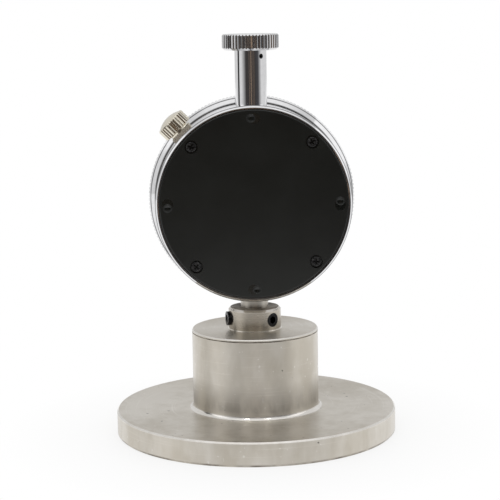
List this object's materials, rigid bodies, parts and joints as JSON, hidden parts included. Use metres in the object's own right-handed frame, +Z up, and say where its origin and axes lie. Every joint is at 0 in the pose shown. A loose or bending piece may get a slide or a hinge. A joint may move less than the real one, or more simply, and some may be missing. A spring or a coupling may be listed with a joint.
{
  "type": "hardness tester",
  "caption": "Foam hardness tester: a dial durometer clamped in a round weighted foot, with a flat cylindrical indenter.",
  "frame": {"origin": "centre of the foot's underside, on the spindle's axis", "axes": "+Z up along the spindle, the dial faces -Y and the back cover +Y"},
  "size_m": [0.08, 0.08, 0.113],
  "materials": {
    "stainless": "satin turned stainless steel",
    "black_oxide": "black oxide steel",
    "chrome_case": "polished chrome plate",
    "chrome_tube": "polished chrome plate",
    "chrome_knob": "chrome plate over a straight knurl",
    "chrome_bezel": "chrome plate over a fine knurl",
    "black_cover": "satin black moulded plastic",
    "bronze": "plain bearing bronze",
    "spring_steel": "bright drawn spring steel",
    "dial_white": "matt white dial paint",
    "spacer_black": "black plastic",
    "clear_crystal": "clear acrylic crystal",
    "nickel": "warm nickel plate",
    "brass_plate": "rolled clock brass",
    "spindle_steel": "ground steel",
    "pointer_red": "satin black paint"
  },
  "bodies": {
    "tester_frame": {"weight_base": "stainless", "base_lid": "stainless", "collar_set_screws": "black_oxide", "case_body": "chrome_case", "back_cover": "black_cover", "cover_screws": "black_oxide", "lower_stem": "chrome_tube", "stem_bushes": "bronze", "upper_tube": "chrome_tube", "upper_bush": "bronze", "top_knob": "chrome_knob", "knob_lock_screw": "black_oxide", "bezel_snap_ring": "spring_steel", "clamp_plate": "nickel", "centre_bridge": "brass_plate", "bridge_pillars": "brass_plate", "rear_bridge": "brass_plate", "bridge_screws": "spring_steel", "guide_block": "brass_plate", "centre_bush": "bronze", "main_spring": "spring_steel", "hairspring": "spring_steel", "hairspring_stud": "spring_steel"},
    "indenter_slider": {"spindle": "spindle_steel", "indenter": "stainless", "stop_collar": "spindle_steel", "guide_pin": "spindle_steel", "spring_seat": "spindle_steel"},
    "rack_arbor": {"rack_pinion_arbor": "spindle_steel", "drive_wheel": "brass_plate"},
    "centre_arbor": {"centre_pinion_arbor": "spindle_steel", "pointer": "pointer_red", "pointer_hub": "brass_plate"},
    "hairspring_arbor_body": {"hairspring_arbor": "spindle_steel", "hairspring_wheel": "brass_plate"},
    "bezel_assembly": {"bezel": "chrome_bezel", "dial_plate": "dial_white", "dial_spacer_ring": "spacer_black", "crystal": "clear_crystal", "crystal_ring": "chrome_bezel"},
    "clamp_screw": {"clamp_knob": "nickel"}
  },
  "joints": [
    {"name": "indenter_slide", "type": "slide", "parent": "tester_frame", "child": "indenter_slider", "axis": [0, 0, -1], "range_m": [0, 0.00254], "stiffness_N_per_m": 1516, "springref_m": 0.0029, "deforming": ["main_spring"]},
    {"name": "rack_arbor_turn", "type": "hinge", "parent": "tester_frame", "child": "rack_arbor", "pos_m": [-0.004, 0, 0.05617], "axis": [0, 1, 0], "range_deg": [0, 61.14]},
    {"name": "pointer_turn", "type": "hinge", "parent": "tester_frame", "child": "centre_arbor", "pos_m": [0, 0, 0.0662], "axis": [0, 1, 0], "range_deg": [-304.19, 0]},
    {"name": "hairspring_arbor_turn", "type": "hinge", "parent": "tester_frame", "child": "hairspring_arbor_body", "pos_m": [0.00935, 0, 0.0716], "axis": [0, 1, 0], "range_deg": [0, 61.14]},
    {"name": "bezel_turn", "type": "hinge", "parent": "tester_frame", "child": "bezel_assembly", "pos_m": [0, 0, 0.0662], "axis": [0, 1, 0], "continuous": true},
    {"name": "clamp_turn", "type": "hinge", "parent": "tester_frame", "child": "clamp_screw", "pos_m": [0, 0, 0.0662], "axis": [0.7071, 0, 0.7071], "range_deg": [0, 360]}
  ],
  "couplings": [
    {"joint": "rack_arbor_turn", "follows": "indenter_slide", "rad_per_m": 416.67},
    {"joint": "pointer_turn", "follows": "indenter_slide", "rad_per_m": -2083.3},
    {"joint": "hairspring_arbor_turn", "follows": "indenter_slide", "rad_per_m": 416.67}
  ]
}
